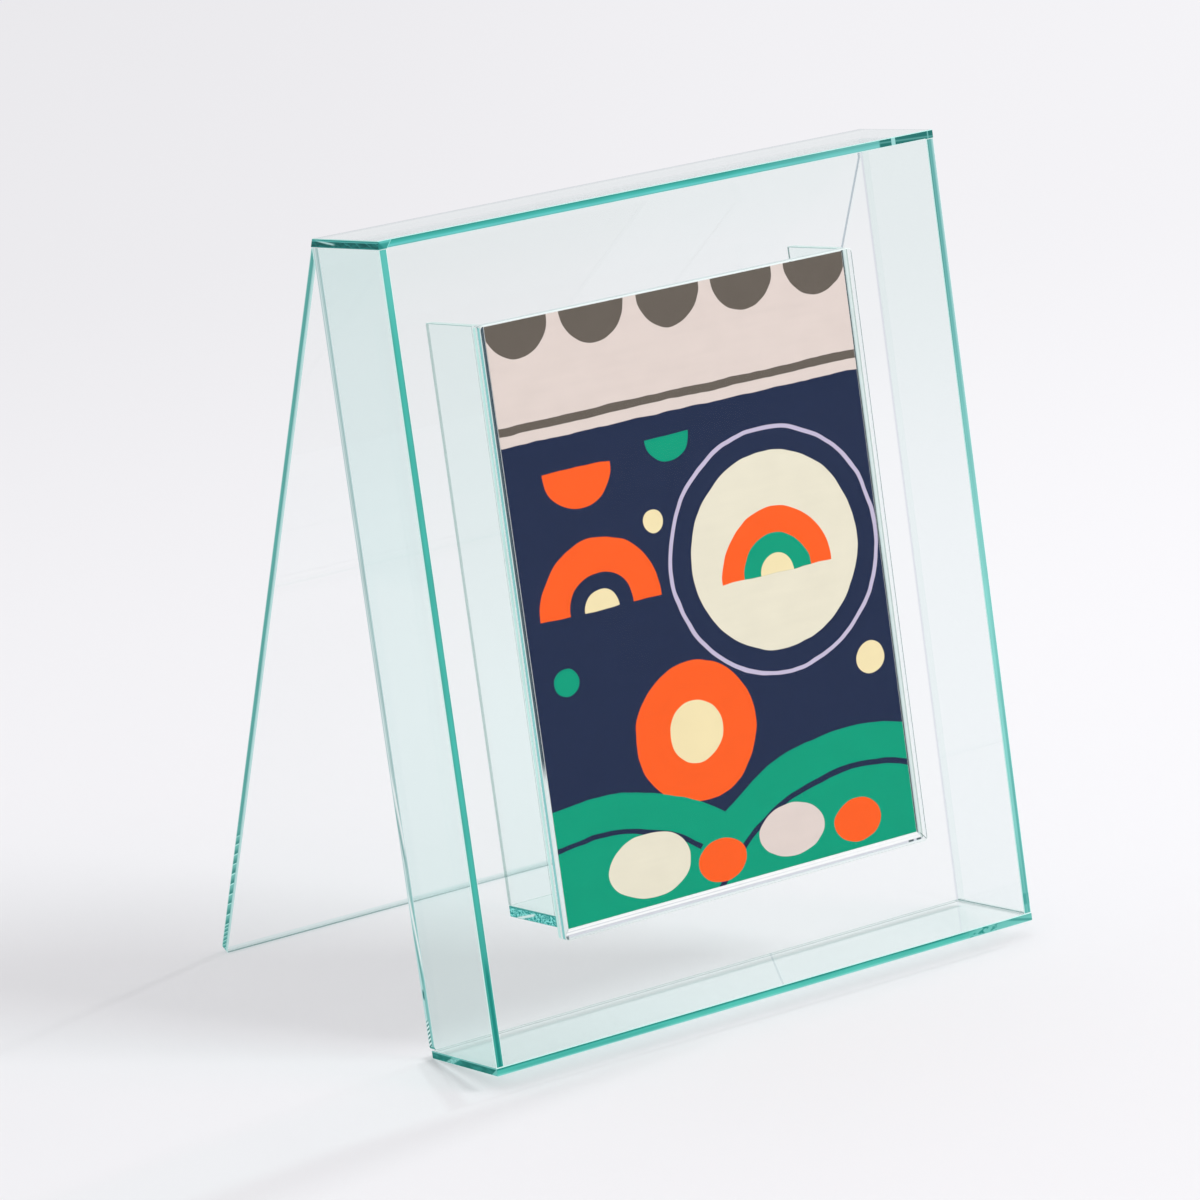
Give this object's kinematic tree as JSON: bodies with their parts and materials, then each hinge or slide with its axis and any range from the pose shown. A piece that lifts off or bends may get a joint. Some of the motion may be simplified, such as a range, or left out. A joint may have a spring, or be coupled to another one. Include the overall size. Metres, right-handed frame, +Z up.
{
  "type": "acrylic box frame",
  "caption": "Clear acrylic shadow box for a tabletop, open at the front, leaning back on a full-width sloping leg, with a slim floating holder for a print.",
  "frame": {"origin": "on the surface the frame stands on, under the middle of its outer size", "axes": "+Z up, -Y towards the viewer in front of the frame, X across its width; the box leans back 7.5 degrees about X"},
  "size_m": [0.228, 0.1921, 0.2911],
  "materials": {
    "clear_acrylic": "polished clear cast acrylic, blue-green at its edges",
    "holder_acrylic": "polished clear acrylic, paler at its edges",
    "print": "matt printed card"
  },
  "bodies": {
    "frame": {"top_plate": "clear_acrylic", "bottom_plate": "clear_acrylic", "left_wall": "clear_acrylic", "right_wall": "clear_acrylic", "back_panel": "clear_acrylic", "stand_panel": "clear_acrylic", "left_fin": "holder_acrylic", "right_fin": "holder_acrylic", "holder_ledge": "clear_acrylic", "holder_back_sheet": "holder_acrylic", "holder_front_sheet": "holder_acrylic", "pocket_strip_left": "holder_acrylic", "pocket_strip_right": "holder_acrylic", "pocket_strip_bottom": "holder_acrylic"},
    "print": {"print_insert": "print"}
  },
  "joints": [
    {"name": "print_slide", "type": "slide", "parent": "frame", "child": "print", "axis": [0, 0.1305, 0.9914], "range_m": [0, 0.033]}
  ]
}
